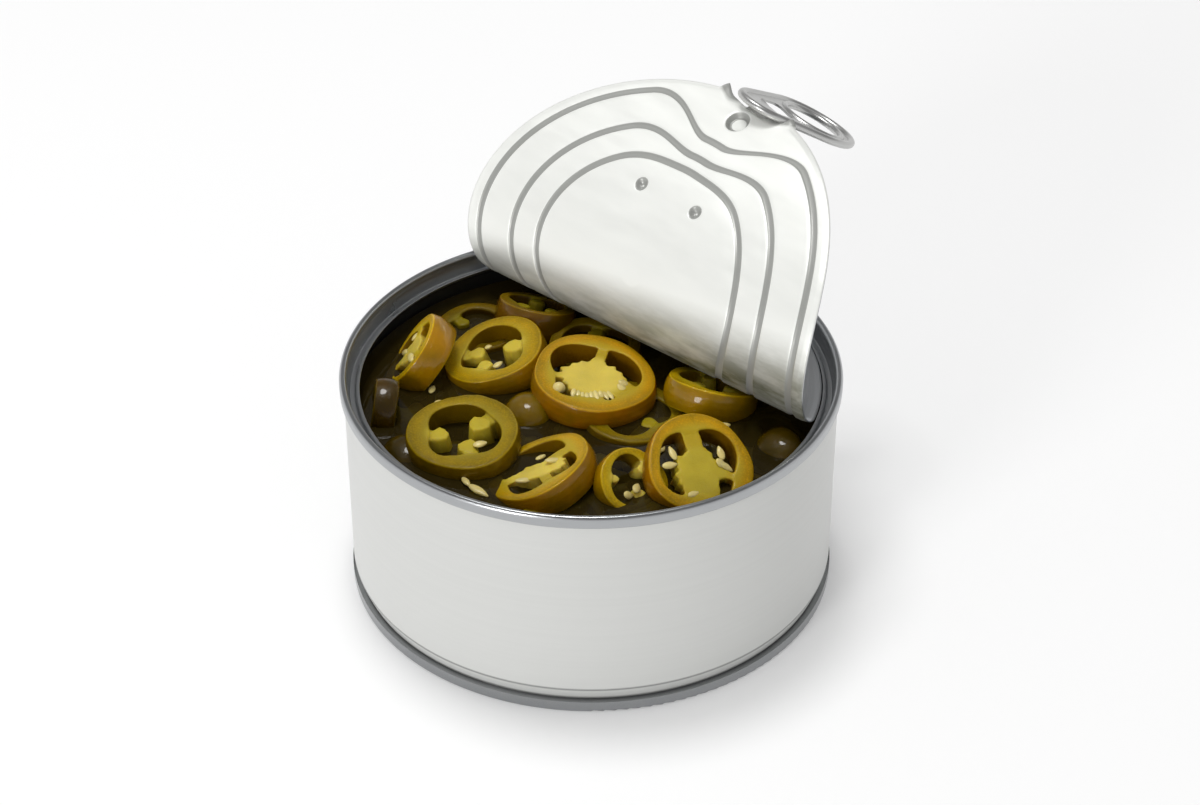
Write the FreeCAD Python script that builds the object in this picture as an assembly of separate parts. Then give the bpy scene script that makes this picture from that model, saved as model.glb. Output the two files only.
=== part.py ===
import FreeCAD, Part
import math
import os
from FreeCAD import Vector

# ---- can of sliced jalapenos: driving dimensions, millimetres and degrees ----
# origin: middle of the base plane, +Z up along the can's axis
can_height = 49.0              # base plane to the top of the upper seam
body_radius = 50.35            # outside of the side wall
plan = body_radius / 50.35     # lengths across the can follow its radius
sheet = 0.3                    # tinplate thickness
fit_gap = 0.05                 # clearance of the wall in each seam's groove
neck_radius = body_radius - 1.1    # outside of the wall where it necks in to the lower seam
neck_top = 5.4                 # where the neck's slope leaves the straight wall
wall_recess = 0.6              # seam metal between each rim of the wall and the seam's end

top_seam_radius = body_radius + 0.85
top_seam_height = 2.5
seam_rounding = 0.6
chuck_depth = 3.6              # rim down to the foot of the chuck wall
chuck_draft = 0.45             # how far the chuck wall leans in over its depth
groove_width = 1.3             # countersink groove
groove_depth = 0.75
shelf_width = 0.95             # metal left between the groove and the score

bottom_seam_radius = neck_radius + 1.35
bottom_seam_height = 2.6
bottom_chuck_height = 3.9      # base plane up to the foot of the lower chuck wall
bottom_panel_drop = 0.9        # the bottom panel stands this much nearer the base plane
bottom_steps = [38.0 * plan, 30.0 * plan]    # radii of the expansion rings
bottom_step_width = 2.2
bottom_step_height = 0.7

# ---- the torn and rolled panel of the easy-open end ----
score_gap = 0.2                # width of the score line
score_web = 0.14               # metal left in the score where it isn't torn
peel_direction = -131.0        # heading of the pull, from the fold out to the tab
fold_offset = 18.1 * plan      # can axis to the fold, on the side that isn't torn
crease_angle = 56.0            # sharp bend at the fold
crease_length = 2.6            # length over which it dies out
curl_angle = 110.0             # wide bend of the roll beyond it
curl_length = 21.8 * plan
skew = -0.16 / plan            # turn of the roll's lines for each millimetre of panel
draw = 5.4 * plan              # sideways lean of the roll
draw_length = 17.0 * plan

bead_radii = [26.6 * plan, 34.0 * plan, 43.5 * plan]
bead_dips = [1.9 * plan, 5.8 * plan, 10.5 * plan]   # how far each bead bows in beside the rivet
bead_spans = [39.0, 36.0, 32.0]   # half angle of that bow
bead_foot = 0.85               # half width of a bead
bead_crest = 0.35
bead_height = 0.5
fold_rings = [r * plan for r in range(10, 20)]   # close together where the fold runs
cap_radius = 2.0               # flat middle of the panel's skin
bend_step = 0.1                # step along the roll's middle line

dimple_radius = 19.2 * plan    # place of the two dimples under the finger ring
dimple_angle = 24.0
dimple_ball = 1.5
dimple_rise = 0.6

rivet_inset = 7.15             # the rivet's place, in from the score
rivet_button = 2.7
rivet_head = 3.4
rivet_hollow = 2.4
rivet_hollow_depth = 1.2
rivet_head_bottom = 0.85
rivet_head_top = 1.45

notch_depth = 2.4              # bite that the tab's nose took out of the rim
notch_angle = 8.0              # half of its flat bottom, then its slope, round the rim
notch_slope = 6.0

# ---- ring pull ----
tab_length = 30.0
tab_width = 21.0
tab_nose_width = 14.0
tab_rim = 0.85                 # radius of the rolled rim
tab_web = 0.5
tab_hinge = 7.0                # nose tip to the hinge of the tongue
slot_length = 5.4              # window that the tongue leaves
slot_width = 7.6
finger_start = 13.8            # nose tip to the finger hole
finger_length = 12.6
finger_width = 14.8
finger_rim = 0.75
tongue_reach = 7.2             # rivet to hinge
tongue_width = 5.6
tongue_sheet = 0.4
tongue_lift = 0.38             # underside of the tongue over the middle of the panel
tongue_eye = 4.0
tab_lift = 52.0                # the tab over the panel's plane, past the rim
tab_swing = 15.0               # its turn about the rivet
tab_bank = 5.0                 # its roll about its own length

# ---- contents ----
brine_level = can_height - 9.0
content_gap = 0.1              # clearance of the contents to the can
slice_wall = 0.3               # wall of a slice as a share of its radius
rib_width = 0.3                # its ribs: width as a share of the radius, height of the thickness
rib_height = 0.8
# slices that stand out of the brine: x, y, height of the middle over the brine,
# heading and angle of the tilt, radius, thickness
slices = [
    (0.3, 2.6, 2.6, -40, 7, 12.6, 5.9),
    (-19.7, 13.2, 1.3, -168, 15, 10.8, 5.8),
    (-25.4, -15.7, 1.2, -114, 8, 11.2, 6.0),
    (-9.4, -26.4, 0.1, 165, 23, 11.0, 6.0),
    (7.6, -29.0, 0.4, -55, 38, 7.2, 5.0),
    (20.9, -26.0, 1.7, -63, 30, 11.0, 6.0),
    (24.6, 0.9, 1.1, 56, 22, 9.4, 5.8),
    (-35.4, 12.3, 2.6, 176, 53, 8.9, 5.8),
    (-12.1, 29.5, 1.0, 60, 23, 8.5, 6.5),
    (0.5, 19.0, -1.0, -90, 2, 9.7, 5.5),
    (-13.1, -3.7, -1.2, -158, 19, 5.4, 8.0),
    (37.6, -15.5, -0.6, -139, 23, 5.2, 6.0),
    (-37.5, -17.2, -1.2, -139, 23, 5.2, 6.0),
    (-42.4, -3.1, 0.2, -179, 80, 6.1, 4.8),
    (8.2, -4.6, -1.9, -7, 4, 10.6, 5.5),
    (-24.6, 26.0, -1.6, -90, 2, 9.0, 5.5),
    (-5.3, -36.4, -2.6, -7, 6, 8.2, 5.5),
    (33.0, 10.0, -1.4, 40, 10, 9.0, 5.5),
]


def arc_through(start, corner, end, radius):
    """Tangent arc that rounds the corner of two straight runs."""
    back = (start - corner).normalize()
    ahead = (end - corner).normalize()
    half = math.acos(max(-1.0, min(1.0, back.dot(ahead)))) / 2
    reach = radius / math.tan(half)
    middle = corner + (back + ahead).normalize() * (radius / math.sin(half) - radius)
    return corner + back * reach, middle, corner + ahead * reach


def rounded_path(points, radius):
    """Open line of straight runs joined by tangent arcs, in the XZ plane."""
    corners = [Vector(x, 0, z) for x, z in points]
    edges = []
    here = corners[0]
    for before, corner, after in zip(corners, corners[1:], corners[2:]):
        first, middle, last = arc_through(before, corner, after, radius)
        edges.append(Part.LineSegment(here, first).toShape())
        edges.append(Part.Arc(first, middle, last).toShape())
        here = last
    edges.append(Part.LineSegment(here, corners[-1]).toShape())
    return Part.Wire(edges)


def turned(face):
    return face.revolve(Vector(0, 0, 0), Vector(0, 0, 1), 360)


def turned_outline(points):
    """Solid of revolution from a closed outline of (radius, height) points."""
    outline = [Vector(x, 0, z) for x, z in points]
    return turned(Part.Face(Part.makePolygon(outline + outline[:1])))


def turned_sheet(points, radius):
    """Solid of revolution of bent sheet whose middle line runs through points."""
    path = rounded_path(points, radius)
    left = path.makeOffset2D(sheet / 2, 0, False, True)
    right = path.makeOffset2D(-sheet / 2, 0, False, True)
    ends = []
    for pick in (0, -1):
        a = left.OrderedVertexes[pick].Point
        b = right.OrderedVertexes[pick].Point
        ends.append(Part.LineSegment(a, b).toShape())
    outline = Part.Wire(Part.__sortEdges__(left.Edges + right.Edges + ends))
    return turned(Part.Face(outline))


# ---- side wall and bottom end ----
def make_body():
    """Side wall, necked in at the bottom, its rims inside the two seams."""
    half = sheet / 2
    straight = body_radius - half
    necked = neck_radius - half
    top = can_height - wall_recess
    path = [(straight, top), (straight, neck_top), (necked, bottom_seam_height), (necked, wall_recess)]
    return turned_sheet(path, 1.2)


def seam_ring(wall, outside, inside, bottom, top, grow):
    """Rolled seam with the groove that the wall's rim sits in; grow is +1 for a seam open below."""
    groove_in = wall - sheet - fit_gap
    groove_out = wall + fit_gap
    ring = turned_outline([(inside, bottom), (outside, bottom), (outside, top), (inside, top)])
    depth = wall_recess - fit_gap
    if grow > 0:
        low, high = bottom - 1, top - depth
    else:
        low, high = bottom + depth, top + 1
    slot = turned_outline([(groove_in, low), (groove_out, low), (groove_out, high), (groove_in, high)])
    return ring, slot


def round_rims(ring, height, radius):
    """Rounds the two circular rims that lie at the given height."""
    rims = [e for e in ring.Edges if len(e.Vertexes) == 1 and abs(e.CenterOfMass.z - height) < 1e-6]
    return ring.makeFillet(radius, rims)


def bottom_path():
    """Middle line of the bottom end's sheet, from the seam in to the middle."""
    chuck = neck_radius - sheet - fit_gap - sheet / 2
    level = bottom_chuck_height - bottom_panel_drop
    path = [(chuck, bottom_seam_height / 2), (chuck, bottom_chuck_height)]
    path += [(chuck - 2.2, bottom_chuck_height), (chuck - 3.4, level)]
    for radius in bottom_steps:
        path.append((radius + bottom_step_width / 2, level))
        level += bottom_step_height
        path.append((radius - bottom_step_width / 2, level))
    return path + [(1.0, level)]


def make_bottom_end():
    """Lower seam, chuck wall and stepped bottom panel, one sheet."""
    path = bottom_path()
    inside = path[0][0] - sheet / 2
    ring, slot = seam_ring(neck_radius, bottom_seam_radius, inside, 0, bottom_seam_height, -1)
    ring = round_rims(ring, 0, seam_rounding)
    dish = turned_sheet(path, 0.5)
    hub = Part.makeCylinder(1.5, sheet, Vector(0, 0, path[-1][1] - sheet / 2))
    return ring.cut(slot).fuse(dish).fuse(hub).removeSplitter()


# ---- easy-open end: the ring that stays in the seam ----
def shelf_height():
    return can_height - chuck_depth + sheet / 2


def score_radius():
    chuck = body_radius - sheet - fit_gap - sheet / 2
    return chuck - chuck_draft - groove_width - shelf_width


def rivet_radius():
    return score_radius() - rivet_inset


def make_end_ring():
    """Upper seam, chuck wall, countersink groove and the narrow shelf outside the score."""
    half = sheet / 2
    chuck = body_radius - sheet - fit_gap - half
    bottom = can_height - top_seam_height
    ring, slot = seam_ring(body_radius, top_seam_radius, chuck - half, bottom, can_height, 1)
    ring = round_rims(ring, can_height, seam_rounding)
    foot = can_height - chuck_depth
    sink = foot - groove_depth
    shelf = shelf_height()
    wall = chuck - chuck_draft
    path = [(chuck, can_height - top_seam_height / 2), (wall, foot), (wall, sink)]
    path += [(wall - groove_width, sink), (wall - groove_width, shelf), (score_radius(), shelf)]
    dish = turned_sheet(path, 0.28)
    return ring.cut(slot).fuse(dish).removeSplitter()


# ---- easy-open end: the panel, torn, folded and rolled back ----
def bend_angle(run):
    """Turn of the panel at a distance past the fold."""
    sharp = crease_angle * (1 - math.exp(-run / crease_length))
    return sharp + curl_angle * (1 - math.exp(-run / curl_length))


def make_bend_line():
    """Middle line of the rolled panel: its points every bend_step past the fold."""
    heading = math.radians(peel_direction)
    point = Vector(math.cos(heading), math.sin(heading), 0) * -fold_offset
    point.z = shelf_height()
    line = []
    count = int((fold_offset + score_radius() + 6) / bend_step)
    for i in range(count):
        run = (i + 0.5) * bend_step
        angle = math.radians(bend_angle(run))
        turn = heading + math.radians(skew * run)
        tangent = Vector(math.cos(angle) * math.cos(turn), math.cos(angle) * math.sin(turn), math.sin(angle))
        side = Vector(-math.sin(heading), math.cos(heading), 0)
        lean = draw / draw_length * math.exp(-run / draw_length)
        line.append(Vector(point))
        point = point + (tangent - side * lean) * bend_step
    return line


def panel_frame(across, along):
    """Middle point, outward normal and tangents of the panel at a flat place.

    across and along are measured on the flat panel from the can's axis,
    along in the peel direction."""
    heading = math.radians(peel_direction)
    run = along + fold_offset
    if run <= 0:
        ahead = Vector(math.cos(heading), math.sin(heading), 0)
        side = Vector(-math.sin(heading), math.cos(heading), 0)
        point = ahead * along + side * across
        point.z = shelf_height()
        return point, Vector(0, 0, 1), ahead, side
    index = min(int(run / bend_step), len(bend_line) - 2)
    part = run / bend_step - index
    turn = heading + math.radians(skew * run)
    side = Vector(-math.sin(turn), math.cos(turn), 0)
    middle = bend_line[index] * (1 - part) + bend_line[index + 1] * part
    slope = (bend_line[index + 1] - bend_line[index]) * (1 / bend_step)
    slope = slope - Vector(math.cos(turn), math.sin(turn), 0) * (across * math.radians(skew))
    normal = slope.cross(side).normalize()
    return middle + side * across, normal, side.cross(normal), side


def bead_line(index, angle):
    """Radius of a bead's middle line at an angle from the tab's axis."""
    away = min(1.0, max(0.0, (abs(angle) - 4) / (bead_spans[index] - 4)))
    bow = 0.5 * (1 + math.cos(math.pi * away))
    return bead_radii[index] - bead_dips[index] * bow


def panel_rings():
    """Closed lines of the panel from the middle out: (radius at an angle, height) functions."""
    rings = [(lambda a, r=r: r, 0.0) for r in [cap_radius, 4.5, 7] + fold_rings + [21 * plan]]
    edge = panel_edge()
    for k in range(3):
        for offset, height in ((-bead_foot, 0), (-bead_crest, 1), (bead_crest, 1), (bead_foot, 0)):
            rings.append((lambda a, k=k, o=offset: bead_line(k, a) + o, height * bead_height))
        if k < 2:
            rings.append((lambda a, k=k: (bead_line(k, a) + bead_line(k + 1, a)) / 2, 0.0))
    for share in (0.25, 0.5, 0.75, 1.0):
        rings.append((lambda a, f=share: (bead_line(2, a) + bead_foot) * (1 - f) + (edge - panel_notch(a)) * f, 0.0))
    return rings


def panel_edge():
    return score_radius() - score_gap


def panel_angles():
    """Angles of the points on each ring, close together where rings cross the fold."""
    angles = []
    angle = 0.0
    while angle < 179.9:
        angles.append(angle)
        angle += 1.5 if 96 <= angle < 168 else 3.0
    return [-a for a in reversed(angles[1:])] + angles + [180.0]


def ring_edge(ring, lift, angles):
    """One closed curve of the panel, lift above or below its middle."""
    radius, height = ring
    cap = radius(0) <= cap_radius
    middle, up, ahead, side = panel_frame(0, 0)
    points = []
    for angle in angles[:-1]:
        r = radius(angle)
        across = r * math.sin(math.radians(angle))
        along = r * math.cos(math.radians(angle))
        if cap:
            points.append(middle + ahead * along + side * across + up * lift)
        else:
            point, normal, _, _ = panel_frame(across, along)
            points.append(point + normal * (height + lift))
    curve = Part.BSplineCurve()
    curve.interpolate(Points=points, PeriodicFlag=True, Parameters=[a + 180 for a in angles])
    return curve.toShape()


def make_panel_sheet():
    """The whole panel as a closed skin of ruled bands between its rings."""
    angles = panel_angles()
    rings = panel_rings()
    half = sheet / 2
    faces = []
    rims = []
    for lift in (-half, half):
        edges = [ring_edge(ring, lift, angles) for ring in rings]
        for inner, outer in zip(edges, edges[1:]):
            faces.append(Part.makeRuledSurface(inner, outer))
        faces.append(Part.Face(Part.Wire(edges[0])))
        rims.append(edges[-1])
    faces.append(Part.makeRuledSurface(rims[0], rims[1]))
    shell = Part.makeShell(faces)
    shell.sewShape(1e-4)
    solid = Part.Solid(shell.Shells[0] if shell.Shells else shell)
    if solid.Volume < 0:
        solid.reverse()
    return solid


def panel_notch(angle):
    """How far the rim is bitten back at an angle from the tab's axis."""
    away = min(1.0, max(0.0, (abs(angle) - notch_angle) / notch_slope))
    return notch_depth * 0.5 * (1 + math.cos(math.pi * away))


def local_frame(across, along):
    """Placement whose Z is the panel's outward normal and X points away from the fold."""
    point, normal, ahead, side = panel_frame(across, along)
    return placement(point, ahead, side, normal)


def placement(point, x_axis, y_axis, z_axis):
    matrix = FreeCAD.Matrix(x_axis.x, y_axis.x, z_axis.x, point.x,
                            x_axis.y, y_axis.y, z_axis.y, point.y,
                            x_axis.z, y_axis.z, z_axis.z, point.z,
                            0, 0, 0, 1)
    return FreeCAD.Placement(matrix)


def add_dimple(panel, sign):
    """Round dimple pressed outward, hollow on the inside."""
    angle = math.radians(sign * dimple_angle)
    place = local_frame(dimple_radius * math.sin(angle), dimple_radius * math.cos(angle))
    sink = sheet / 2 + dimple_rise - dimple_ball
    ball = Part.makeSphere(dimple_ball, Vector(0, 0, sink))
    ball = ball.common(Part.makeBox(8, 8, 4, Vector(-4, -4, 0)))
    hollow = Part.makeSphere(dimple_ball - sheet, Vector(0, 0, sink))
    ball.Placement = place
    hollow.Placement = place
    return panel.fuse(ball).cut(hollow)


def add_rivet(panel):
    """Hollow rivet drawn from the panel itself, its head over the tab's tongue."""
    place = local_frame(0, rivet_radius())
    points = [(0, 0), (rivet_button, 0), (rivet_button, rivet_head_bottom)]
    points += [(rivet_head, rivet_head_bottom), (rivet_head, rivet_head_top), (0, rivet_head_top)]
    button = turned_outline(points)
    rims = [e for e in button.Edges if abs(e.CenterOfMass.z - rivet_head_top) < 1e-6 and e.Length > 6]
    button = button.makeFillet(0.25, rims)
    hollow = Part.makeCylinder(rivet_hollow, rivet_hollow_depth + 2, Vector(0, 0, -2))
    button.Placement = place
    hollow.Placement = place
    return panel.fuse(button).cut(hollow)


def make_score_web():
    """Thin metal left in the score where the panel is still attached."""
    inside = panel_edge() - 0.3
    outside = score_radius() + 0.3
    low = shelf_height() - score_web / 2
    half_turn = math.degrees(math.acos(-fold_offset / panel_edge())) + 1.5
    corners = [(inside, low), (outside, low), (outside, low + score_web), (inside, low + score_web)]
    outline = [Vector(x, 0, z) for x, z in corners]
    face = Part.Face(Part.makePolygon(outline + outline[:1]))
    web = face.revolve(Vector(0, 0, 0), Vector(0, 0, 1), 360 - 2 * half_turn)
    web.rotate(Vector(0, 0, 0), Vector(0, 0, 1), peel_direction + half_turn)
    return web


def make_easy_open_end():
    """Ring, score web and torn panel as the one sheet that they are."""
    panel = add_rivet(make_panel_sheet())
    for sign in (-1, 1):
        panel = add_dimple(panel, sign)
    return make_end_ring().fuse([make_score_web(), panel])


# ---- ring pull ----
def belt(x_small, small, x_large, large):
    """Outline of two arcs joined by their outer tangents, in the XY plane."""
    lean = math.asin((large - small) / (x_large - x_small))
    flank = Vector(-math.sin(lean), math.cos(lean), 0)
    mirror = Vector(flank.x, -flank.y, 0)
    near = Vector(x_small, 0, 0)
    far = Vector(x_large, 0, 0)
    nose = Part.Arc(near + flank * small, near - Vector(small, 0, 0), near + mirror * small)
    ring = Part.Arc(far + mirror * large, far + Vector(large, 0, 0), far + flank * large)
    low = Part.LineSegment(near + mirror * small, far + mirror * large)
    high = Part.LineSegment(far + flank * large, near + flank * small)
    return Part.Wire([nose.toShape(), low.toShape(), ring.toShape(), high.toShape()])


def rolled_rim(wire, radius):
    """Round bead swept along a closed wire."""
    edge = wire.Edges[0]
    start = edge.valueAt(edge.FirstParameter)
    tangent = edge.tangentAt(edge.FirstParameter)
    section = Part.Wire(Part.makeCircle(radius, start, tangent))
    return wire.makePipeShell([section], True, False)


def make_tab_plate():
    """Rim, web, tongue window and finger ring, with the hinge at the origin."""
    nose = -tab_hinge + tab_nose_width / 2
    ring = tab_length - tab_hinge - tab_width / 2
    outline = belt(nose, tab_nose_width / 2 - tab_rim, ring, tab_width / 2 - tab_rim)
    low = Vector(0, 0, -tab_web / 2)
    up = Vector(0, 0, tab_web)
    plate = Part.Face(outline).translated(low).extrude(up)
    middle = Vector(finger_start - tab_hinge + finger_length / 2, 0, 0)
    tall = Part.Ellipse(middle + Vector(0, finger_width / 2, 0), middle + Vector(finger_length / 2, 0, 0), middle)
    finger = Part.Wire(tall.toShape())
    hole = Part.Face(finger).translated(low * 4).extrude(up * 4)
    corner = Vector(0, -slot_width / 2, -tab_web)
    slot = Part.makeBox(slot_length, slot_width, 2 * tab_web, corner)
    posts = [e for e in slot.Edges if abs(e.Vertexes[0].X - slot_length) < 1e-6 and e.Length == 2 * tab_web]
    slot = slot.makeFillet(1.5, posts)
    plate = plate.cut([hole, slot])
    return plate.fuse([rolled_rim(outline, tab_rim), rolled_rim(finger, finger_rim)])


def tab_frame():
    """Placement of the lifted tab, its origin on the hinge."""
    point, normal, ahead, side = panel_frame(0, rivet_radius())
    lift = math.radians(tab_lift)
    swing = math.radians(tab_swing)
    bank = math.radians(tab_bank)
    flat = ahead * math.cos(swing) + side * math.sin(swing)
    length = flat * math.cos(lift) + normal * math.sin(lift)
    width = normal.cross(length).normalize()
    face = length.cross(width)
    face = face * math.cos(bank) + width * math.sin(bank)
    hinge = point + flat * tongue_reach + normal * (tongue_lift + tongue_sheet / 2)
    return placement(hinge, length, face.cross(length), face)


def make_tongue():
    """Eye round the rivet and the strip that runs from it to the hinge."""
    eye = Part.makeCylinder(tongue_eye, tongue_sheet, Vector(0, 0, tongue_lift))
    corner = Vector(0, -tongue_width / 2, tongue_lift)
    strip = Part.makeBox(tongue_reach + 0.2, tongue_width, tongue_sheet, corner)
    strip.rotate(Vector(0, 0, 0), Vector(0, 0, 1), tab_swing)
    hole = Part.makeCylinder(rivet_button + fit_gap, 4, Vector(0, 0, -1))
    tongue = eye.fuse(strip).cut(hole)
    tongue.Placement = local_frame(0, rivet_radius())
    return tongue


def make_pull_tab():
    plate = make_tab_plate()
    plate.Placement = tab_frame()
    return plate.fuse(make_tongue()).removeSplitter()


# ---- contents: brine and the heap of slices, one solid ----
def make_brine():
    """Liquid up to its level, following the bottom end and the side wall."""
    half = sheet / 2
    lift = half + content_gap + 0.1
    outline = [(radius, height + lift) for radius, height in reversed(bottom_path()[1:])]
    outline[0] = (0, outline[0][1])
    inner = body_radius - sheet - content_gap
    outline += [(neck_radius - sheet, bottom_chuck_height + lift), (inner, neck_top + 0.8)]
    outline += [(inner, brine_level), (0, brine_level)]
    return turned_outline(outline)


def make_slice(radius, thickness):
    """Ring of pepper wall with its three ribs, lying on the XY plane's middle."""
    low = Vector(0, 0, -thickness / 2)
    ring = Part.makeCylinder(radius, thickness, low)
    ring = ring.cut(Part.makeCylinder(radius * (1 - slice_wall), thickness, low))
    corner = Vector(0, -radius * rib_width / 2, -thickness * rib_height / 2)
    rib = Part.makeBox(radius * 0.9, radius * rib_width, thickness * rib_height, corner)
    for turn in range(3):
        ring = ring.fuse(rib.rotated(Vector(0, 0, 0), Vector(0, 0, 1), 120 * turn))
    return ring


def make_heap():
    """Brine core with the slices that stand out of it."""
    heap = make_brine()
    room = Part.makeCylinder(score_radius() - 0.6, can_height, Vector(0, 0, brine_level - 12))
    for index, (x, y, z, heading, tilt, radius, thickness) in enumerate(slices):
        piece = make_slice(radius * plan, thickness)
        piece.rotate(Vector(0, 0, 0), Vector(0, 0, 1), 37 * index)
        piece.rotate(Vector(0, 0, 0), Vector(0, 1, 0), tilt)
        piece.rotate(Vector(0, 0, 0), Vector(0, 0, 1), heading)
        piece.translate(Vector(x * plan, y * plan, brine_level + z))
        heap = heap.fuse(piece.common(room))
    return heap


bend_line = make_bend_line()


if __name__ == "__main__":
    os.makedirs("parts", exist_ok=True)
    make_body().exportStep("parts/can_body.step")
    make_bottom_end().exportStep("parts/bottom_end.step")
    make_easy_open_end().exportStep("parts/easy_open_end.step")
    make_pull_tab().exportStep("parts/pull_tab.step")
    make_heap().exportStep("parts/sliced_jalapenos.step")
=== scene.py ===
import math
import random

import bmesh
import bpy
from bpy.props import FloatProperty, FloatVectorProperty, IntProperty, PointerProperty
import numpy as np
from mathutils import Matrix, Vector


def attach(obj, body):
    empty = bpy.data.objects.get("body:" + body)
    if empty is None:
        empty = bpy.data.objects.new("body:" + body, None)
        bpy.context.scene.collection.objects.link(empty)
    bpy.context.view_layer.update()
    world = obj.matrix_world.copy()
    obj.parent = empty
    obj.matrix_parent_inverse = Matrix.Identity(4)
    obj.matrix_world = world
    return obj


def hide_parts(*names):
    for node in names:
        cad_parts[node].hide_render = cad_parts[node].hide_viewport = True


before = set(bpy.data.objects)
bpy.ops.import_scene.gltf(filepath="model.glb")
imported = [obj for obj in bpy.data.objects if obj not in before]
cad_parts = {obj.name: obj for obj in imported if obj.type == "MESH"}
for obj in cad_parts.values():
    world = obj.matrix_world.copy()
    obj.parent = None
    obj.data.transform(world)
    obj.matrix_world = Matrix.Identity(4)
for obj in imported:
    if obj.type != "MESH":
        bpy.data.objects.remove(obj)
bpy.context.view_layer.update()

bl_info = {
    "name": "Open can of sliced jalapenos",
    "version": (1, 0, 0),
    "blender": (4, 5, 0),
    "location": "View3D > Sidebar > Jalapenos",
    "description": "Wall, seams, rolled lid, ring pull, brine and pepper slices of an opened can",
    "category": "Object",
}

MM = 0.001


# ---------------------------------------------------------------- settings
def colour(name, text, value):
    """A linear colour."""
    return FloatVectorProperty(name=name, description=text, default=value, size=3, subtype="COLOR",
                               min=0, max=1)


def length(name, text, value):
    """A size in millimetres."""
    return FloatProperty(name=name, description=text + ", in millimetres", default=value)


def angle(name, text, value):
    """An angle, given in degrees and kept in radians."""
    return FloatProperty(name=name, description=text, default=math.radians(value), subtype="ANGLE")


class JALAPENO_PG_can(bpy.types.PropertyGroup):
    """Sizes and finishes of the tinplate."""
    wall_colour: colour("Wall", "Pale satin lacquer of the side wall", (0.67, 0.675, 0.655))
    tin_colour: colour("Tinplate", "Bare tinplate of seams and lid", (0.41, 0.42, 0.43))
    lacquer_colour: colour("Lid lining", "White lacquer on the inside of the lid", (0.95, 0.96, 0.92))
    # Grey of the beads and of the sides of the rivet and dimples: partly stretched lacquer, partly painted
    # shade.
    stretch_and_shade_colour: colour("Bead lining", "Stretched lacquer and painted shade in the beads", (0.38, 0.385, 0.365))
    # Painted shade and reflection of the peppers on the lining near the fold.
    fold_shade_colour: colour("Painted fold shade", "Painted shade and reflection on the lining near the fold", (0.14, 0.145, 0.095))
    tab_colour: colour("Ring pull", "Steel of the ring pull", (0.55, 0.55, 0.54))
    sheet: length("Sheet", "Thickness of the lid", 0.3)
    rim_height: length("Rim height", "Top of the upper seam", 49.0)
    seam_radius: length("Seam radius", "Outside of the upper seam", 51.2)
    chuck_radius: length("Chuck wall", "Inside of the seam", 49.7)
    shelf_height: length("Shelf", "Height of the lid's flat ring", 45.55)
    score_radius: length("Score", "Radius of the torn score line", 47.15)
    score_gap: length("Score gap", "Width of the score line", 0.2)


class JALAPENO_PG_roll(bpy.types.PropertyGroup):
    """How the lid is folded and rolled back."""
    heading: angle("Peel direction", "Heading of the pull", -131.0)
    offset: length("Fold offset", "Can axis to the fold", 18.1)
    crease: angle("Crease", "Sharp bend at the fold", 56.0)
    crease_length: length("Crease length", "Length over which the crease dies out", 2.6)
    curl: angle("Curl", "Wide bend of the roll", 110.0)
    curl_length: length("Curl length", "Length over which the curl dies out", 21.8)
    skew: angle("Skew", "Turn of the roll's lines for each millimetre", -0.16)
    draw: length("Draw", "Sideways lean of the roll", 5.4)
    draw_length: length("Draw length", "Length over which the lean dies out", 17.0)
    bead_height: length("Bead height", "Height of the pressed beads", 0.3)
    rivet: length("Rivet", "Distance of the rivet from the can's axis", 40.0)
    segments: IntProperty(name="Segments", description="Steps round the lid", default=420, min=60)


class JALAPENO_PG_pepper(bpy.types.PropertyGroup):
    """Colours and sizes of the slices."""
    flesh: colour("Flesh", "Cut face of the wall", (0.46, 0.275, 0.0005))
    skin: colour("Skin", "Outside of the pepper", (0.30, 0.145, 0.0004))
    deep: colour("Shade", "Greener patches", (0.17, 0.118, 0.001))
    inner: colour("Inner flesh", "Cut face near the hollows", (0.42, 0.32, 0.02))
    pith: colour("Pith", "Ribs and middle", (0.66, 0.51, 0.08))
    seed: colour("Seed", "Seeds", (0.66, 0.54, 0.20))
    brine: colour("Brine", "Pickling liquid", (0.026, 0.018, 0.004))
    voxel: length("Mesh size", "Size of the slices' mesh", 0.28)
    brine_level: length("Brine level", "Height of the liquid", 40.0)


class JALAPENO_PG_stage(bpy.types.PropertyGroup):
    """Floor, lamps and camera."""
    floor: colour("Floor", "Floor", (0.80, 0.80, 0.80))
    top_power: FloatProperty(name="Top", description="Lamp above and behind", default=5.2, unit="POWER")
    side_power: FloatProperty(name="Side", description="Lamp at the left", default=5.0, unit="POWER")
    lens: FloatProperty(name="Lens", description="Focal length in millimetres", default=82.91)
    pitch: angle("Pitch", "Camera below the horizon", 35.2546)


# ---------------------------------------------------------------- mesh helpers
def finish_mesh(bm, name, materials, smooth=True, replaces=()):
    """Writes a bmesh in millimetres to a new object in metres that rides on the can."""
    bmesh.ops.scale(bm, vec=(MM, MM, MM), verts=bm.verts)
    mesh = bpy.data.meshes.new(name)
    bm.to_mesh(mesh)
    bm.free()
    return add_piece(mesh, name, materials, smooth, replaces)


def add_piece(mesh, name, materials, smooth=True, replaces=()):
    """Makes an object of a mesh in metres and hangs it on the can."""
    for material in materials:
        mesh.materials.append(material)
    if smooth:
        mesh.shade_smooth()
    piece = bpy.data.objects.new(name, mesh)
    bpy.context.scene.collection.objects.link(piece)
    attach(piece, "root")
    if replaces:
        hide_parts(*replaces)
    return piece


def turned(points, steps=256):
    """Closed ring turned from a closed outline of (radius, height) points."""
    bm = bmesh.new()
    verts = [bm.verts.new((x, 0, z)) for x, z in points]
    edges = [bm.edges.new((a, b)) for a, b in zip(verts, verts[1:] + verts[:1])]
    bmesh.ops.spin(bm, geom=verts + edges, cent=(0, 0, 0), axis=(0, 0, 1), angle=2 * math.pi,
                   steps=steps, use_merge=True)
    bmesh.ops.recalc_face_normals(bm, faces=bm.faces)
    return bm


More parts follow.
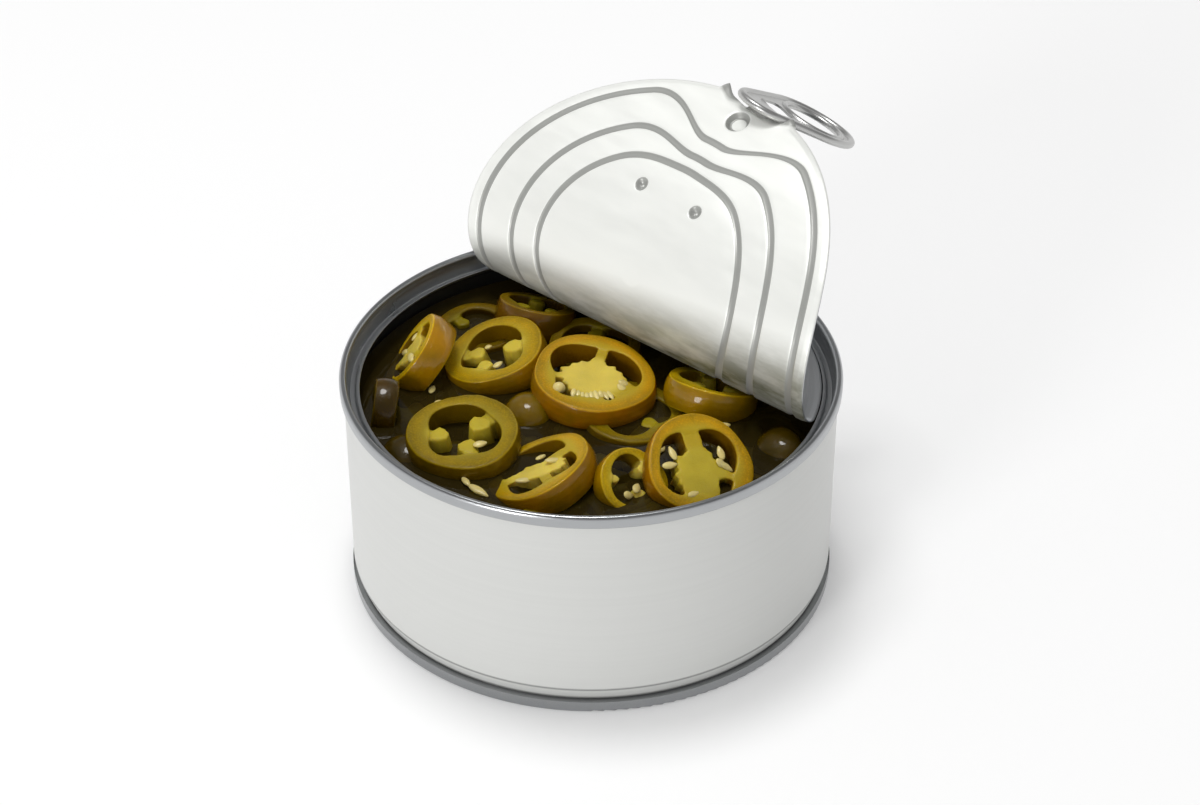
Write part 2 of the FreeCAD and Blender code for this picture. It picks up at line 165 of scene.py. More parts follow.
def rounded(points, radius, steps=4):
    """Closed outline with its corners rounded."""
    result = []
    count = len(points)
    for i in range(count):
        before, here, after = (Vector(points[(i + k) % count]) for k in (-1, 0, 1))
        back, ahead = before - here, after - here
        reach = min(radius, back.length * 0.45, ahead.length * 0.45)
        first = here + back.normalized() * reach
        last = here + ahead.normalized() * reach
        for k in range(steps + 1):
            t = k / steps
            result.append(first * (1 - t) ** 2 + here * 2 * t * (1 - t) + last * t ** 2)
    return [(p.x, p.y) for p in result]


def soft_step(low, high, value):
    """Smooth step from 0 at low to 1 at high, on a number or an array."""
    t = np.clip((value - low) / (high - low), 0, 1)
    return t * t * (3 - 2 * t)


# ---------------------------------------------------------------- materials
class Nodes:
    """Short hand for building a node tree."""

    def __init__(self, name):
        self.material = bpy.data.materials.get(name) or bpy.data.materials.new(name)
        self.material.use_nodes = True
        self.tree = self.material.node_tree
        self.tree.nodes.clear()
        self.out = self.add("ShaderNodeOutputMaterial")
        self.shader = self.add("ShaderNodeBsdfPrincipled")
        self.link(self.shader, "BSDF", self.out, "Surface")

    def add(self, kind, **values):
        node = self.tree.nodes.new(kind)
        for key, value in values.items():
            setattr(node, key, value)
        return node

    def link(self, source, output, target, socket):
        self.tree.links.new(source.outputs[output], target.inputs[socket])

    def value(self, socket, value):
        self.shader.inputs[socket].default_value = value

    def coords(self, scale=(1, 1, 1)):
        place = self.add("ShaderNodeTexCoord")
        mapping = self.add("ShaderNodeMapping")
        mapping.inputs["Scale"].default_value = scale
        self.link(place, "Object", mapping, "Vector")
        return mapping, "Vector"

    def noise(self, source, scale, detail=3, rough=0.55):
        node = self.add("ShaderNodeTexNoise")
        node.inputs["Scale"].default_value = scale
        node.inputs["Detail"].default_value = detail
        node.inputs["Roughness"].default_value = rough
        self.link(source[0], source[1], node, "Vector")
        return node

    def ramp(self, source, output, low, high, first, last):
        node = self.add("ShaderNodeMapRange")
        for socket, value in (("From Min", low), ("From Max", high), ("To Min", first), ("To Max", last)):
            node.inputs[socket].default_value = value
        self.link(source, output, node, "Value")
        return node

    def times(self, a, b):
        """Product of two ramps."""
        node = self.add("ShaderNodeMath", operation="MULTIPLY")
        self.link(a, "Result", node, 0)
        self.link(b, "Result", node, 1)
        return node

    def mix(self, factor, a, b):
        """Colour mix; factor and colours are (node, output) pairs or constants."""
        node = self.add("ShaderNodeMix", data_type="RGBA")
        for index, item in ((0, factor), (6, a), (7, b)):
            if isinstance(item, tuple) and not isinstance(item[0], (int, float)):
                self.tree.links.new(item[0].outputs[item[1]], node.inputs[index])
            elif index:
                node.inputs[index].default_value = (*item, 1)
            else:
                node.inputs[index].default_value = item
        return node, 2

    def to(self, item, socket):
        self.tree.links.new(item[0].outputs[item[1]], self.shader.inputs[socket])

    def bump(self, source, output, distance, strength=1.0):
        node = self.add("ShaderNodeBump")
        node.inputs["Distance"].default_value = distance
        node.inputs["Strength"].default_value = strength
        self.link(source, output, node, "Height")
        self.link(node, "Normal", self.shader, "Normal")

    def attribute(self, name):
        return self.add("ShaderNodeAttribute", attribute_name=name)


def shade(colour_value, factor):
    """A colour made darker or lighter."""
    return tuple(min(1.0, c * factor) for c in colour_value)


def wall_lacquer(can):
    """Pale satin lacquer with faint level streaks; bare tin darkened as painted shade inside the can, and
    painted shade on the lower crease and in the gap over the seam.
    """
    n = Nodes("wall_lacquer")
    streaks = n.noise(n.coords((3, 3, 900)), 1.0, 2)
    clouds = n.noise(n.coords(), 35.0, 3)
    tone = n.mix((streaks, 0), shade(can.wall_colour, 0.965), shade(can.wall_colour, 1.025))
    # Inside the can, above 10 mm, the wall is bare tin darkened to near black as painted shade.
    away = n.add("ShaderNodeVectorMath", operation="LENGTH")
    n.link(*n.coords((1, 1, 0)), away, "Vector")
    within = n.ramp(away, "Value", 0.05017, 0.05023, 1.0, 0.0)
    height = n.add("ShaderNodeSeparateXYZ")
    n.link(*n.coords(), height, "Vector")
    above = n.ramp(height, "Z", 0.010, 0.0102, 0.0, 1.0)
    inside = n.times(within, above)
    # A dark line on the lower crease, from 5.2 to 6 mm: painted shade.
    crease = n.ramp(height, "Z", 0.0052, 0.0056, 0.0, 1.0)
    below = n.ramp(height, "Z", 0.0056, 0.0060, 1.0, 0.0)
    line = n.times(crease, below)
    tone = n.mix((line, "Value"), tone, shade(can.wall_colour, 0.3))
    # Darker below 3.4 mm: painted shade in the gap over the seam.
    gap = n.ramp(height, "Z", 0.0027, 0.0034, 0.85, 0.0)
    tone = n.mix((gap, "Result"), tone, shade(can.wall_colour, 0.1))
    n.to(n.mix((inside, 0), tone, shade(can.tin_colour, 0.27)), "Base Color")
    n.link(inside, "Value", n.shader, "Metallic")
    n.to((n.ramp(clouds, 0, 0.3, 0.7, 0.36, 0.46), "Result"), "Roughness")
    n.value("Coat Weight", 0.25)
    n.value("Coat Roughness", 0.3)
    n.bump(streaks, 0, 0.00002, 0.4)
    return n.material


def tinplate(can, name="tinplate", tone=1.0, low=0.26, high=0.34):
    """Bare tinplate: turned grain and slightly uneven gloss."""
    n = Nodes(name)
    grain = n.noise(n.coords((60, 60, 1800)), 1.0, 2)
    clouds = n.noise(n.coords(), 90.0, 4)
    base = shade(can.tin_colour, tone)
    n.to(n.mix((clouds, 0), shade(base, 0.95), shade(base, 1.05)), "Base Color")
    n.to((n.ramp(clouds, 0, 0.2, 0.8, low, high), "Result"), "Roughness")
    n.value("Metallic", 1.0)
    n.bump(grain, 0, 0.00002, 0.3)
    return n.material


def lid_lacquer(can):
    """White lining of the lid, greyer in its beads as stretched lacquer and painted shade, with streaky
    painted shade and reflection of the peppers near the fold.
    """
    n = Nodes("lid_lacquer")
    flat = n.add("ShaderNodeMapping")
    flat.inputs["Scale"].default_value = (0.26, 0.06, 1.0)
    n.link(n.attribute("flat_place"), "Vector", flat, "Vector")
    streaks = n.noise((flat, "Vector"), 1.0, 4, 0.6)
    tone = n.mix((streaks, 0), shade(can.lacquer_colour, 0.97), shade(can.lacquer_colour, 1.03))
    # Streaky painted shade and reflection of the peppers on the lining near the fold.
    slant = n.add("ShaderNodeVectorMath", operation="DOT_PRODUCT")
    slant.inputs[1].default_value = (1.0, -0.12, 0.0)
    n.link(n.attribute("flat_place"), "Vector", slant, 0)
    near = n.ramp(slant, "Value", -14.5, -1.0, 1.0, 0.0)
    fold_shade = n.times(near, n.ramp(streaks, 0, 0.38, 0.6, 0.6, 1.0))
    tone = n.mix((fold_shade, "Value"), tone, tuple(can.fold_shade_colour))
    # The bead value greys the beads and the sides of the rivet and dimples as stretched lacquer and painted
    # shade, and the ears beside the nose as painted shade.
    bead = n.ramp(n.attribute("bead"), "Fac", 0.05, 0.3, 0.0, 1.0)
    n.to(n.mix((bead, "Result"), tone, tuple(can.stretch_and_shade_colour)), "Base Color")
    n.to((n.ramp(streaks, 0, 0.3, 0.7, 0.34, 0.48), "Result"), "Roughness")
    n.value("Metallic", 0.28)
    n.value("Coat Weight", 0.15)
    n.value("Coat Roughness", 0.25)
    return n.material


def pull_steel(can):
    """Bare steel of the ring pull."""
    n = Nodes("ring_pull_steel")
    grain = n.noise(n.coords((220, 220, 220)), 1.0, 3)
    n.to(n.mix((grain, 0), shade(can.tab_colour, 0.92), shade(can.tab_colour, 1.08)), "Base Color")
    n.to((n.ramp(grain, 0, 0.3, 0.7, 0.3, 0.4), "Result"), "Roughness")
    n.value("Metallic", 0.9)
    return n.material


def pepper_material(pepper, name, warm, pale=1.0, tone=1.0):
    """Pickled pepper: glossy skin, cut face with a paler inside, a painted highlight along its edge and
    painted shade on the walls of the hollows, pale pith; a low tone and pale stand in as painted shade for
    slices in shade.
    """
    n = Nodes(name)
    source = (n.attribute("cut_place"), "Vector")
    broad = n.noise(source, 0.16, 3)
    fine = n.noise(source, 2.4, 4, 0.7)
    flesh = shade((pepper.flesh[0], pepper.flesh[1] * (1 - 0.3 * warm), pepper.flesh[2]), tone)
    skin = shade((pepper.skin[0], pepper.skin[1] * (1 - 0.5 * warm), pepper.skin[2]), tone)
    # bright serves the specks and the painted highlight on the cut edge.
    bright = (flesh[0] * 1.45, flesh[1] * 1.5, flesh[2] * 5)
    pith = (pepper.pith[0] * pale, pepper.pith[1] * pale, pepper.pith[2] * pale ** 3)
    patch = n.ramp(broad, 0, 0.35, 0.75, 0.0, 0.7)
    cut = n.mix((patch, "Result"), flesh, shade(pepper.deep, tone))
    # Bright specks on the cut face: partly its grain, partly painted wet highlights.
    speck = n.ramp(fine, 0, 0.45, 0.7, 0.0, 0.6)
    cut = n.mix((speck, "Result"), cut, bright)
    light = n.ramp(n.attribute("outer"), "Fac", 0.0, 0.55, 0.75, 0.0)
    cut = n.mix((light, "Result"), cut, shade(pepper.inner, tone))
    dark = n.ramp(n.attribute("outer"), "Fac", 0.6, 1.0, 0.0, 0.6)
    cut = n.mix((dark, "Result"), cut, shade(pepper.deep, tone))
    # Painted shade on the inner walls that face the hollows.
    cut = n.mix((n.attribute("hollow"), "Fac"), cut, (flesh[0] * 0.4, flesh[1] * 0.36, flesh[2]))
    outside = n.mix((patch, "Result"), skin, shade(pepper.deep, 0.7 * tone))
    outer = n.attribute("skin")
    body = n.mix((outer, "Fac"), cut, outside)
    # A painted highlight along the cut edge.
    body = n.mix((n.attribute("rim"), "Fac"), body, bright)
    middle = n.mix((patch, "Result"), shade(pith, 1.06), shade(pith, 0.78))
    n.to(n.mix((n.attribute("pith"), "Fac"), body, middle), "Base Color")
    rough = n.ramp(outer, "Fac", 0.0, 1.0, 0.3, 0.14)
    n.link(n.ramp(outer, "Fac", 0.0, 1.0, 0.06, 0.5), "Result", n.shader, "Coat Weight")
    n.link(rough, "Result", n.shader, "Roughness")
    n.value("Subsurface Weight", 0.3)
    n.value("Subsurface Radius", (1.0, 0.6, 0.05))
    n.value("Subsurface Scale", 0.002)
    n.value("Specular IOR Level", 0.15)
    n.value("Coat Roughness", 0.03)
    n.bump(fine, 0, 0.00012, 0.8)
    return n.material


def seed_material(pepper):
    """Pale seeds with a slight speckle."""
    n = Nodes("seed")
    speck = n.noise(n.coords(), 900.0, 2)
    n.to(n.mix((speck, 0), shade(pepper.seed, 0.8), shade(pepper.seed, 1.15)), "Base Color")
    n.value("Roughness", 0.3)
    n.value("Subsurface Weight", 0.3)
    n.value("Subsurface Radius", (1.0, 0.8, 0.4))
    n.value("Subsurface Scale", 0.001)
    return n.material


def brine_material(pepper):
    """Dark clear liquid with slow ripples."""
    n = Nodes("brine")
    cloud = n.noise(n.coords(), 60.0, 2)
    n.to(n.mix((cloud, 0), shade(pepper.brine, 0.7), shade(pepper.brine, 1.4)), "Base Color")
    n.value("Roughness", 0.04)
    n.value("IOR", 1.34)
    n.value("Specular IOR Level", 0.5)
    n.value("Alpha", 0.78)
    n.bump(cloud, 0, 0.0008, 0.3)
    return n.material


def heap_shade_material(pepper):
    """Middle of the heap, painted nearly black as shade, seen only through the brine."""
    n = Nodes("deep_heap")
    cloud = n.noise(n.coords(), 120.0, 3)
    n.to(n.mix((cloud, 0), shade(pepper.deep, 0.05), shade(pepper.deep, 0.25)), "Base Color")
    n.value("Roughness", 0.4)
    return n.material


# ---------------------------------------------------------------- rolled lid
class LidRoll:
    """Places of the flat panel on the fold and the roll."""
    step = 0.1

    def __init__(self, roll, can):
        self.roll = roll
        self.level = can.shelf_height
        self.heading = roll.heading
        self.side = Vector((-math.sin(self.heading), math.cos(self.heading), 0))
        point = Vector((math.cos(self.heading), math.sin(self.heading), 0)) * -roll.offset
        point.z = self.level
        self.line = []
        for i in range(int((roll.offset + can.score_radius + 6) / self.step)):
            run = (i + 0.5) * self.step
            bend = roll.crease * (1 - math.exp(-run / roll.crease_length))
            bend += roll.curl * (1 - math.exp(-run / roll.curl_length))
            turn = self.heading + roll.skew * run
            tangent = Vector((math.cos(bend) * math.cos(turn), math.cos(bend) * math.sin(turn),
                              math.sin(bend)))
            lean = roll.draw / roll.draw_length * math.exp(-run / roll.draw_length)
            self.line.append(point.copy())
            point = point + (tangent - self.side * lean) * self.step

    def frame(self, across, along):
        """Point, outer normal, direction ahead and direction across at a flat place."""
        run = along + self.roll.offset
        if run <= 0:
            ahead = Vector((math.cos(self.heading), math.sin(self.heading), 0))
            point = ahead * along + self.side * across
            point.z = self.level
            return point, Vector((0, 0, 1)), ahead, self.side
        index = min(int(run / self.step), len(self.line) - 2)
        part = run / self.step - index
        turn = self.heading + self.roll.skew * run
        side = Vector((-math.sin(turn), math.cos(turn), 0))
        middle = self.line[index].lerp(self.line[index + 1], part)
        slope = (self.line[index + 1] - self.line[index]) / self.step
        slope -= Vector((math.cos(turn), math.sin(turn), 0)) * (across * self.roll.skew)
        normal = slope.cross(side).normalized()
        return middle + side * across, normal, side.cross(normal), side

    def place(self, across, along, lift):
        point, normal, _, _ = self.frame(across, along)
        return point + normal * lift


PANEL_CAP = 1.7         # radius of the panel's flat middle
DIMPLE_PLACE = 19.2     # can's axis to each dimple
DIMPLE_TURN = 24        # their angle from the tab's axis, in degrees
# The greyness of the side is partly stretched lacquer and partly painted shade.
DIMPLE = (1.7, 0.9, 0.25, 0.6)      # radius, height, flat share of the top, greyness of the side
RIVET = (2.9, 1.2, 0.68, 1.0)       # the same for the rivet
DIMPLE_REACH, RIVET_REACH = 2.6, 3.6  # how far the finer mesh round them goes
FOLD_CUTS, FOLD_STEP = 22, 0.4      # extra cuts along the fold, and their spacing
NOTCH_DEPTH = 2.4       # bite of the tab's nose
NOTCH_SPAN = (8, 14)    # half angles where the bite begins to rise and ends, in degrees
EAR_HEIGHT = 1.7        # pull of the rim beside the nose
EAR_SPAN = (4.0, 12.0, 14.5)        # half angles where an ear begins, peaks and ends
LIP, TAB_LIP, TAB_LIP_SPAN = 0.25, 0.7, 30      # bend of the rim, more near the tab, over an angle
RIM = 1.55              # flat rim outside the last bead
BEADS = ((26.6, 1.9, 39.0), (34.0, 5.8, 36.0), (43.5, 10.5, 32.0))   # radius, dip, half angle of the dip
BEAD_HALF = 1.05        # middle of a bead to its foot
BEAD_PROFILE = ((-BEAD_HALF, 0.0), (-0.88, 0.1), (-0.6, 0.85), (-0.3, 1.0),
                (0.3, 1.0), (0.6, 0.85), (0.88, 0.1), (BEAD_HALF, 0.0))


def bead_line(index, turn):
    """Radius of a bead's middle at an angle in degrees from the tab's axis."""
    radius, dip, span = BEADS[index]
    away = min(1.0, max(0.0, (abs(turn) - 4) / (span - 4)))
    return radius - dip * 0.5 * (1 + math.cos(math.pi * away))


def notch(turn):
    """How far the tab's nose bit into the rim."""
    start, end = NOTCH_SPAN
    away = min(1.0, max(0.0, (abs(turn) - start) / (end - start)))
    return NOTCH_DEPTH * 0.5 * (1 + math.cos(math.pi * away))


def torn_lip(turn):
    """How far the torn rim is bent outward."""
    near = math.exp(-(abs(turn) / TAB_LIP_SPAN) ** 2)
    return LIP + TAB_LIP * near


def ear(turn):
    """How far the rim beside the tab's nose was pulled up and out."""
    away = abs(turn)
    start, peak, end = EAR_SPAN
    return EAR_HEIGHT * max(0.0, min((away - start) / (peak - start), (end - away) / (end - peak)))


def lid_rings(roll, edge):
    """Lines of the panel from the middle out: functions giving (radius, height, bead) at an angle."""
    radii = [2.8 + 1.35 * k for k in range(10)] + [15.9 + 0.5 * k for k in range(14)]
    rings = [lambda a, r=r: (r, 0.0, 0.0) for r in radii]
    for k in range(3):
        for offset, height in BEAD_PROFILE:
            rings.append(lambda a, k=k, o=offset, h=height: (bead_line(k, a) + o, h * roll.bead_height, h))
        if k < 2:
            for share in (0.1, 0.22, 0.36, 0.5, 0.64, 0.78, 0.9):
                rings.append(lambda a, k=k, s=share: (
                    (bead_line(k, a) + BEAD_HALF) * (1 - s)
                    + (bead_line(k + 1, a) - BEAD_HALF) * s, 0.0, 0.0))
    for share in [(k + 1) / 15 for k in range(14)]:
        rings.append(lambda a, s=share: (
            (bead_line(2, a) + BEAD_HALF) * (1 - s) + (edge - RIM - notch(a)) * s, 0.0, 0.0))
    # The ears beside the nose get a bead value that greys them as painted shade.
    for back, share in ((RIM, 0.0), (1.3, 0.08), (1.0, 0.3), (0.5, 0.66), (0.0, 1.0)):
        rings.append(lambda a, b=back, s=share: (
            edge - b - notch(a) + ear(a) * s, torn_lip(a) * s - 0.5 * ear(a) * s, 0.5 * ear(a) * s))
    return rings


def flat_panel(roll, edge):
    """The panel before it is rolled, as a disc whose rings follow the beads."""
    bm = bmesh.new()
    bead = bm.verts.layers.float.new("bead")
    flat = bm.verts.layers.float_vector.new("flat_place")
    bmesh.ops.create_circle(bm, cap_ends=True, cap_tris=True, segments=roll.segments, radius=PANEL_CAP)
    for ring in lid_rings(roll, edge):
        rim = [e for e in bm.edges if e.is_boundary]
        made = bmesh.ops.extrude_edge_only(bm, edges=rim)["geom"]
        for vert in made:
            if isinstance(vert, bmesh.types.BMVert):
                turn = math.atan2(vert.co.y, vert.co.x)
                radius, height, mark = ring(math.degrees(turn))
                vert.co = (radius * math.cos(turn), radius * math.sin(turn), height)
                vert[bead] = mark
                vert[flat] = vert.co.copy()
    return bm


def refine(bm, x, y, reach, cuts):
    """Smaller faces round one place of the flat panel."""
    edges = [e for e in bm.edges
             if all((v.co.x - x) ** 2 + (v.co.y - y) ** 2 < reach ** 2 for v in e.verts)]
    bmesh.ops.subdivide_edges(bm, edges=edges, cuts=cuts, use_grid_fill=True)


def press(bm, x, y, radius, height, flat, mark):
    """Presses a round boss into the flat panel, its top flat over a share; its stretched side is greyed,
    partly as stretched lacquer and partly as painted shade.
    """
    bead = bm.verts.layers.float["bead"]
    for vert in bm.verts:
        away = math.hypot(vert.co.x - x, vert.co.y - y) / radius
        if away < 1:
            vert.co.z += height * (1 - soft_step(flat, 1.0, away))
            vert[bead] = mark * soft_step(flat - 0.2, flat + 0.1, away) * (1 - soft_step(0.8, 1.0, away))


class JALAPENO_OT_lid(bpy.types.Operator):
    """Torn panel of the lid, pressed with beads, folded and rolled back"""
    bl_idname = "jalapeno.lid"
    bl_label = "Rolled lid"

    def execute(self, context):
        scene = context.scene
        can, roll = scene.jalapeno_can, scene.jalapeno_roll
        edge = can.score_radius - can.score_gap
        bm = flat_panel(roll, edge)
        for turn in (math.radians(DIMPLE_TURN), math.radians(-DIMPLE_TURN)):
            x, y = DIMPLE_PLACE * math.cos(turn), DIMPLE_PLACE * math.sin(turn)
            refine(bm, x, y, DIMPLE_REACH, 1)
            press(bm, x, y, *DIMPLE)
        refine(bm, roll.rivet, 0, RIVET_REACH, 2)
        press(bm, roll.rivet, 0, *RIVET)
        for k in range(FOLD_CUTS):
            place = -roll.offset + FOLD_STEP * k - FOLD_STEP / 2
            bmesh.ops.bisect_plane(bm, geom=bm.verts[:] + bm.edges[:] + bm.faces[:], dist=0.0002,
                                   plane_co=(place, 0, 0), plane_no=(1, 0, 0))
        path = LidRoll(roll, can)
        for vert in bm.verts:
            vert.co = path.place(vert.co.y, vert.co.x, vert.co.z)
        piece = finish_mesh(bm, "rolled_lid", [tinplate(can, "lid_outside", 1.3), lid_lacquer(can)],
                            replaces=("easy_open_end",))
        thick = piece.modifiers.new("sheet", "SOLIDIFY")
        thick.thickness = can.sheet * MM
        thick.offset = 0
        thick.use_rim = True
        thick.use_quality_normals = True
        thick.material_offset = 1
        return {"FINISHED"}


class JALAPENO_OT_end_ring(bpy.types.Operator):
    """Upper seam with chuck wall, groove and the shelf outside the torn score"""
    bl_idname = "jalapeno.end_ring"
    bl_label = "Seam and shelf"

    def execute(self, context):
        can = context.scene.jalapeno_can
        top, out, chuck, sheet = can.rim_height, can.seam_radius, can.chuck_radius, can.sheet
        shelf = can.shelf_height + sheet / 2
        score = can.score_radius
        points = [(chuck, top - 1.6), (chuck, top - 0.55), (chuck + 0.35, top), (out - 0.4, top),
                  (out, top - 0.6), (out, top - 2.5), (out - 0.62, top - 2.5), (out - 0.8, top - 1.5),
                  (chuck + 0.25, top - 2.4), (chuck - 0.2, shelf - 1.05), (chuck - 0.3, shelf - 1.2),
                  (chuck - 1.9, shelf - 1.2), (chuck - 2.1, shelf - 0.35), (score, shelf - 0.3),
                  (score, shelf), (chuck - 1.85, shelf), (chuck - 1.65, shelf - 0.85),
                  (chuck - 0.6, shelf - 0.85), (chuck - 0.45, shelf - 0.5)]
        bm = turned(rounded(points, 0.32), 288)
        finish_mesh(bm, "seam_and_shelf", [tinplate(can)], replaces=("easy_open_end",))
        return {"FINISHED"}


class JALAPENO_OT_tinware(bpy.types.Operator):
    """Finishes on the side wall, the bottom end and the ring pull"""
    bl_idname = "jalapeno.tinware"
    bl_label = "Wall, bottom and ring pull"

    def execute(self, context):
        can = context.scene.jalapeno_can
        finishes = {"can_body": wall_lacquer(can), "bottom_end": tinplate(can, "seam_tin", 0.85, 0.2, 0.26),
                    "pull_tab": pull_steel(can)}
        for name, material in finishes.items():
            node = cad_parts[name]
            node.data.materials.clear()
            node.data.materials.append(material)
            node.data.shade_smooth()
        return {"FINISHED"}


# ---------------------------------------------------------------- peppers
def three_stubs(turn):
    return (turn, 0.4, 0.2), (turn - 120, 0.42, 0.2), (turn + 120, 0.42, 0.2)


# x, y, height of the middle over the brine, heading and angle of the tilt, radius, thickness, warmth,
# wall share, form; a form has stubs (angle, distance, size) or a pith (x, y, length, width) with
# ribs (angle, width), in shares of the radius, or is a cap, the closed end of a pepper; its tone darkens
# or lightens wall and skin, and pale does so for the pith. Both are partly the slice's own colour and
# partly painted shade: the low tones and pales of slices that lie in shade, such as those under the lid,
# stand in for that shade.
SLICES = (
    (0.3, 2.6, 2.6, -40, 7, 12.6, 5.9, 0.45, 0.25,
     {"pith": (-0.02, -0.08, 0.50, 0.45), "ribs": ((76, 0.10), (188, 0.08), (-38, 0.24), (-98, 0.26))}),
    (-19.7, 13.2, 1.3, -168, 15, 10.8, 5.8, 0.0, 0.34,
     {"stubs": ((172, 0.34, 0.20), (4, 0.38, 0.21), (-116, 0.42, 0.19)), "pale": 0.8, "tone": 0.9}),
    (-25.4, -15.7, 1.2, -114, 8, 11.2, 6.0, -0.3, 0.32,
     {"stubs": ((182, 0.42, 0.20), (38, 0.34, 0.22), (-74, 0.38, 0.21)), "pale": 0.7, "tone": 0.66}),
    (-9.4, -26.4, 0.1, 165, 23, 11.0, 6.0, 0.15, 0.26,
     {"pith": (0.0, -0.1, 0.55, 0.24), "ribs": ((25, 0.12), (195, 0.13), (-70, 0.12))}),
    (7.6, -29.0, 0.4, -55, 38, 7.2, 5.0, -0.2, 0.30,
     {"stubs": ((-60, 0.40, 0.24), (60, 0.5, 0.18), (185, 0.5, 0.16))}),
    (20.9, -26.0, 1.7, -63, 30, 11.0, 6.0, 0.35, 0.27,
     {"pith": (0.0, -0.14, 0.44, 0.43), "ribs": ((110, 0.17), (-84, 0.34), (-14, 0.08)), "pale": 0.72}),
    (24.6, 0.9, 1.1, 56, 22, 9.4, 5.8, -0.2, 0.30,
     {"stubs": ((100, 0.4, 0.2), (-20, 0.42, 0.2), (215, 0.42, 0.2)), "pale": 0.7, "tone": 1.1}),
    (-35.4, 12.3, 2.6, 176, 53, 8.9, 5.8, 0.05, 0.27,
     {"pith": (0.0, 0.0, 0.42, 0.36), "ribs": ((60, 0.12), (180, 0.12), (-60, 0.12)), "tone": 1.25}),
    (-12.1, 29.5, 1.0, 60, 23, 8.5, 6.5, 0.2, 0.30,
     {"stubs": three_stubs(90), "pale": 0.5, "tone": 0.45}),
    (0.5, 19.0, -1.0, -90, 2, 9.7, 5.5, 0.0, 0.30,
     {"stubs": three_stubs(80), "pale": 0.4, "tone": 0.4}),
    (-13.1, -3.7, -1.2, -158, 19, 5.4, 8.0, -0.4, 0.6, {"cap": 1, "tone": 0.6}),
    (37.6, -15.5, -1.2, -139, 30, 5.2, 6.0, -0.4, 0.6, {"cap": 1, "tone": 0.25}),
    (-37.5, -17.2, -1.6, -139, 23, 5.2, 6.0, -0.4, 0.6, {"cap": 1, "tone": 0.2}),
    (-42.4, -3.1, 0.2, -179, 80, 6.1, 4.8, 0.0, 0.4, {"stubs": (), "tone": 0.2}),
    (8.2, -4.6, -1.9, -7, 4, 10.6, 5.5, -0.3, 0.30,
     {"stubs": three_stubs(80), "pale": 0.5, "tone": 0.5}),
    (-24.6, 26.0, -1.6, -90, 2, 9.0, 5.5, 0.1, 0.30,
     {"stubs": three_stubs(20), "pale": 0.35, "tone": 0.35}),
    (-5.3, -36.4, -2.6, -7, 6, 8.2, 5.5, -0.2, 0.30,
     {"stubs": three_stubs(50), "pale": 0.45, "tone": 0.45}),
    (33.0, 10.0, -1.4, 40, 10, 9.0, 5.5, -0.3, 0.30,
     {"stubs": three_stubs(50), "pale": 0.45, "tone": 0.45}),
)

# seeds of some slices: x and y in shares of the radius, turn, length and width, millimetres
SEEDS = {
    0: ((-0.56, -0.44, 0, 1.35, 1.3), (0.50, -0.20, 10, 1.5, 1.0), (0.47, -0.33, -25, 1.4, 0.9),
        *((-0.33 + 0.075 * k, -0.56 - 0.05 * math.sin(0.5 * k), -100 + 5 * k, 1.15 + 0.2 * (k % 3), 0.6)
          for k in range(9))),
    1: ((0.1, -0.5, 40, 1.2, 0.8), (-0.1, 0.1, 100, 1.2, 0.8)),
    2: ((0.32, -0.36, 20, 1.5, 0.9),),
    3: ((-0.25, -0.3, 15, 1.9, 0.9), (0.30, 0.02, 20, 1.7, 0.9), (0.05, 0.3, 60, 1.5, 0.8)),
    4: ((0.1, -0.2, 70, 1.5, 0.9), (-0.1, -0.45, 20, 1.4, 0.9)),
    5: ((-0.52, 0.14, 115, 1.7, 0.75), (-0.56, -0.12, 20, 1.7, 0.8), (0.36, 0.28, 110, 1.6, 0.8),
        (0.48, 0.02, -20, 1.6, 0.7), (0.38, 0.06, -30, 1.4, 0.8), (-0.1, -0.62, 30, 1.4, 0.7)),
    7: ((0.1, 0.5, 80, 1.6, 0.9), (0.1, -0.5, -80, 1.6, 0.9), (-0.3, 0.3, 130, 1.5, 0.8)),
}

SUNK_COUNT, SUNK_REACH, SUNK_GAP = 22, 37, 13.5     # sunk slices: number, spread, least spacing
SUNK_VOXEL = 0.8
CORE_RADIUS, CORE_FOOT, CORE_TOP = 49.5, 7.0, 31.0
BRINE_RADIUS = 49.9

# loose seeds and white shreds on the brine: x, y, height over the brine, turn, length, width
LOOSE = (
    (-22.0, -31.0, 0.4, -40, 2.6, 1.0), (-24.5, -28.4, 0.6, -60, 1.6, 0.7),
    (-31.0, -1.0, 0.3, 20, 1.2, 0.9),
    (26.5, -14.2, 4.0, 20, 1.6, 1.0), (-32.8, 3.8, 0.3, 80, 1.6, 0.7), (-3.0, -15.5, 0.4, 10, 1.4, 0.8),
    (14.0, -17.0, 0.2, 60, 1.5, 0.9),
)


def pepper_outline(turn, seed):
    """Slightly lobed outline of a pepper, as a share of its radius, at one angle or an array of them."""
    return (1 + 0.022 * np.cos(3 * turn + seed) + 0.018 * np.cos(2 * turn + 2.1 * seed)
            + 0.008 * np.cos(5 * turn + 1.7 * seed))


